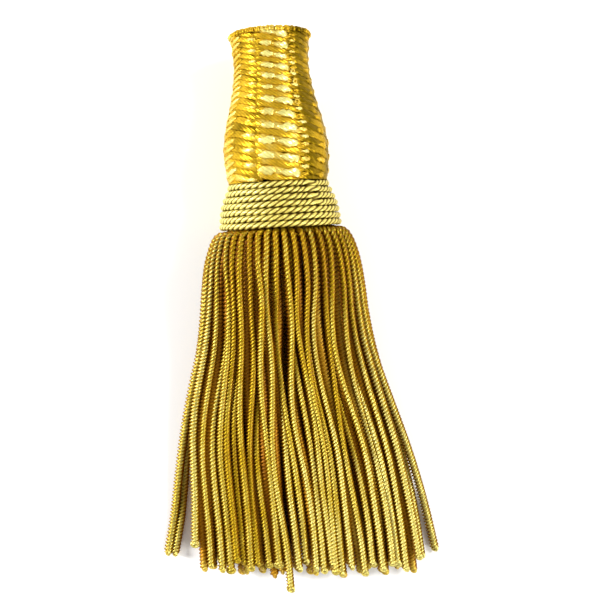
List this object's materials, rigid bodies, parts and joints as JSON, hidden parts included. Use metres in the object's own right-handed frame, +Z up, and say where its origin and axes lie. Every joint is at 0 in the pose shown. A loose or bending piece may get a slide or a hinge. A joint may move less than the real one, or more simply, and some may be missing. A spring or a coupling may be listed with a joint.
{
  "type": "bullion tassel",
  "caption": "Gold bullion tassel lying on its side: plaited vase-shaped head with an open mouth for a cord, wound cord band and a fanned skirt of twisted strands.",
  "frame": {"origin": "on the surface that the tassel lies on, under the middle of its bounding box", "axes": "+Y along the tassel towards the head's mouth, +X across the skirt, +Z up from the surface"},
  "size_m": [0.0546, 0.1058, 0.0231],
  "materials": {
    "head_plait": "plaited gilt thread, bright yellow and orange gold",
    "band_cord": "twisted gilt cord, pale lemon gold",
    "skirt_bullion": "twisted gilt bullion, deep gold with bright ridges"
  },
  "bodies": {
    "root": {"head": "head_plait", "band": "band_cord", "skirt": "skirt_bullion"}
  },
  "joints": []
}
